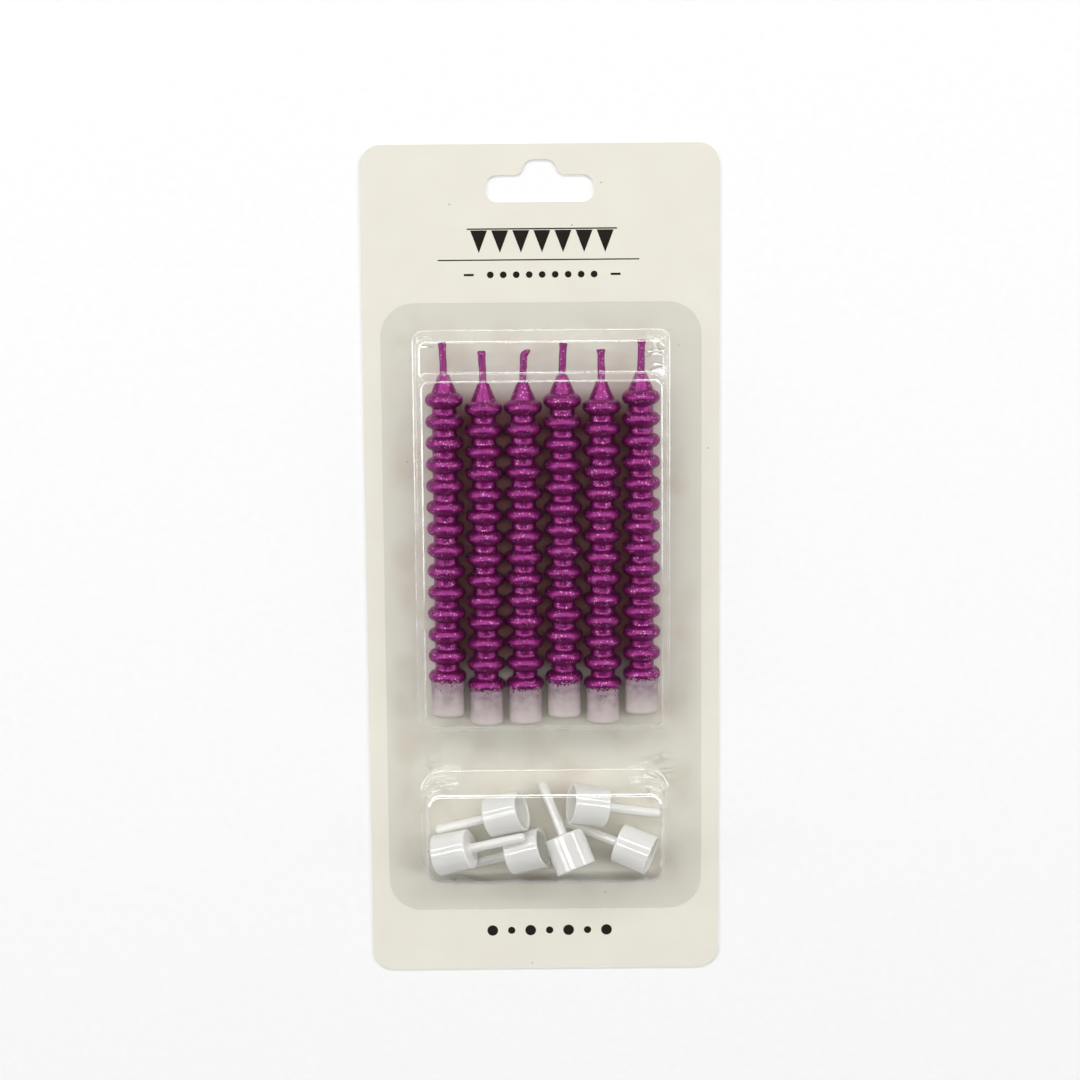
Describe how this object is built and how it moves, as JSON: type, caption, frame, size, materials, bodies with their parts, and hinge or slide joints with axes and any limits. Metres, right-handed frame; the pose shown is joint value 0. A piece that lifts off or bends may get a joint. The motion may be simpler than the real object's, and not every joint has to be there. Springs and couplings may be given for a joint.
{
  "type": "birthday candle pack",
  "caption": "Ring-ribbed party candles with wicks and spiked plastic holders, loose in the two trays of a clear blister sealed to a card with a hang slot.",
  "frame": {"origin": "centre of the card's back face, which the pack lies on", "axes": "+X to the right across the card, +Y up the card to the hang slot, +Z out of the card's face"},
  "size_m": [0.08, 0.19, 0.0152],
  "materials": {
    "card": "matt cream board",
    "film": "clear thermoformed film",
    "wax": "bare white wax",
    "coat": "metallic purple lacquer",
    "wick": "cotton wick stiffened by the same lacquer",
    "holder": "glossy white moulding"
  },
  "bodies": {
    "pack": {"hang_card": "card", "blister": "film"},
    "candle_1": {"candle_1_wax": "wax", "candle_1_coat": "coat", "candle_1_wick": "wick"},
    "candle_2": {"candle_2_wax": "wax", "candle_2_coat": "coat", "candle_2_wick": "wick"},
    "candle_3": {"candle_3_wax": "wax", "candle_3_coat": "coat", "candle_3_wick": "wick"},
    "candle_4": {"candle_4_wax": "wax", "candle_4_coat": "coat", "candle_4_wick": "wick"},
    "candle_5": {"candle_5_wax": "wax", "candle_5_coat": "coat", "candle_5_wick": "wick"},
    "candle_6": {"candle_6_wax": "wax", "candle_6_coat": "coat", "candle_6_wick": "wick"},
    "holder_1": {"holder_1": "holder"},
    "holder_2": {"holder_2": "holder"},
    "holder_3": {"holder_3": "holder"},
    "holder_4": {"holder_4": "holder"},
    "holder_5": {"holder_5": "holder"},
    "holder_6": {"holder_6": "holder"}
  },
  "joints": [
    {"name": "candle_1_slide", "type": "slide", "parent": "pack", "child": "candle_1", "axis": [0, 1, 0], "range_m": [-0.00205, 0.00045]},
    {"name": "candle_2_slide", "type": "slide", "parent": "pack", "child": "candle_2", "axis": [0, 1, 0], "range_m": [-0.00005, 0.00245]},
    {"name": "candle_3_slide", "type": "slide", "parent": "pack", "child": "candle_3", "axis": [0, 1, 0], "range_m": [-0.0003, 0.0022]},
    {"name": "candle_4_slide", "type": "slide", "parent": "pack", "child": "candle_4", "axis": [0, 1, 0], "range_m": [-0.0017, 0.0008]},
    {"name": "candle_5_slide", "type": "slide", "parent": "pack", "child": "candle_5", "axis": [0, 1, 0], "range_m": [-0.00025, 0.00225]},
    {"name": "candle_6_slide", "type": "slide", "parent": "pack", "child": "candle_6", "axis": [0, 1, 0], "range_m": [-0.00235, 0.00015]},
    {"name": "holder_1_turn", "type": "hinge", "parent": "pack", "child": "holder_1", "pos_m": [-0.0209, -0.06541, 0.0062], "axis": [0.9285, 0.2662, 0.2588], "continuous": true},
    {"name": "holder_2_turn", "type": "hinge", "parent": "pack", "child": "holder_2", "pos_m": [-0.009, -0.05661, 0.0062], "axis": [-0.9215, -0.2817, -0.2672], "continuous": true},
    {"name": "holder_3_turn", "type": "hinge", "parent": "pack", "child": "holder_3", "pos_m": [-0.0043, -0.06541, 0.0061], "axis": [-0.9279, -0.2837, -0.2419], "continuous": true},
    {"name": "holder_4_turn", "type": "hinge", "parent": "pack", "child": "holder_4", "pos_m": [0.0099, -0.05471, 0.006], "axis": [0.9618, -0.1783, -0.2079], "continuous": true},
    {"name": "holder_5_turn", "type": "hinge", "parent": "pack", "child": "holder_5", "pos_m": [0.0056, -0.06501, 0.0087], "axis": [-0.365, 0.8811, -0.3007], "continuous": true},
    {"name": "holder_6_turn", "type": "hinge", "parent": "pack", "child": "holder_6", "pos_m": [0.0205, -0.06511, 0.0062], "axis": [-0.9138, 0.3058, -0.2672], "continuous": true}
  ]
}
